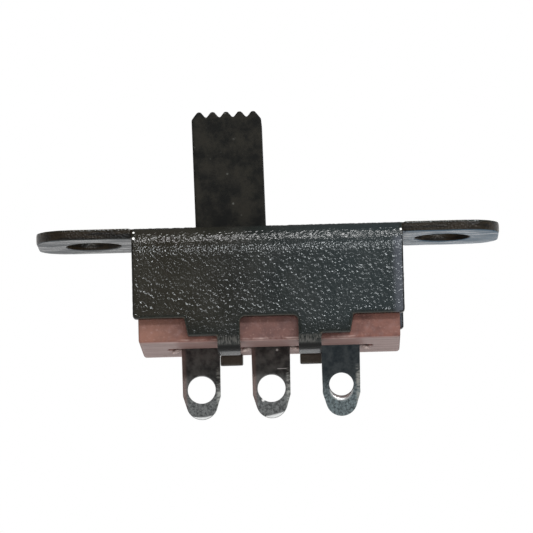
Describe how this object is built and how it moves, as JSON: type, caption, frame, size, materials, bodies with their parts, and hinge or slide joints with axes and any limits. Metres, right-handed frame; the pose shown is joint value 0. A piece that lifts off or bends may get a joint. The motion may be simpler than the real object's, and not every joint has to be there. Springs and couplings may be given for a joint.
{
  "type": "slide switch",
  "caption": "Small panel-mount slide switch: ribbed knob in a folded steel frame with two screw ears, phenolic base and a row of solder lugs.",
  "frame": {"origin": "midway between the two mounting holes, on the top face of the frame, which lies against the panel", "axes": "+X along the switch and its travel, +Z out of the panel along the knob, -Y towards the front wall"},
  "size_m": [0.0264, 0.0086, 0.0175],
  "materials": {
    "frame_steel": "black coated steel with a fine orange-peel texture",
    "phenolic": "reddish-brown moulded phenolic, mottled",
    "knob_plastic": "matte black",
    "terminal_metal": "tinned, dull dark grey",
    "clip_bronze": "plain spring bronze"
  },
  "bodies": {
    "housing": {"frame": "frame_steel", "base": "phenolic", "terminal_left": "terminal_metal", "terminal_common": "terminal_metal", "terminal_right": "terminal_metal"},
    "slider": {"slider": "knob_plastic", "contact_clip": "clip_bronze"}
  },
  "joints": [
    {"name": "slider_travel", "type": "slide", "parent": "housing", "child": "slider", "axis": [1, 0, 0], "range_m": [0, 0.0042]}
  ]
}
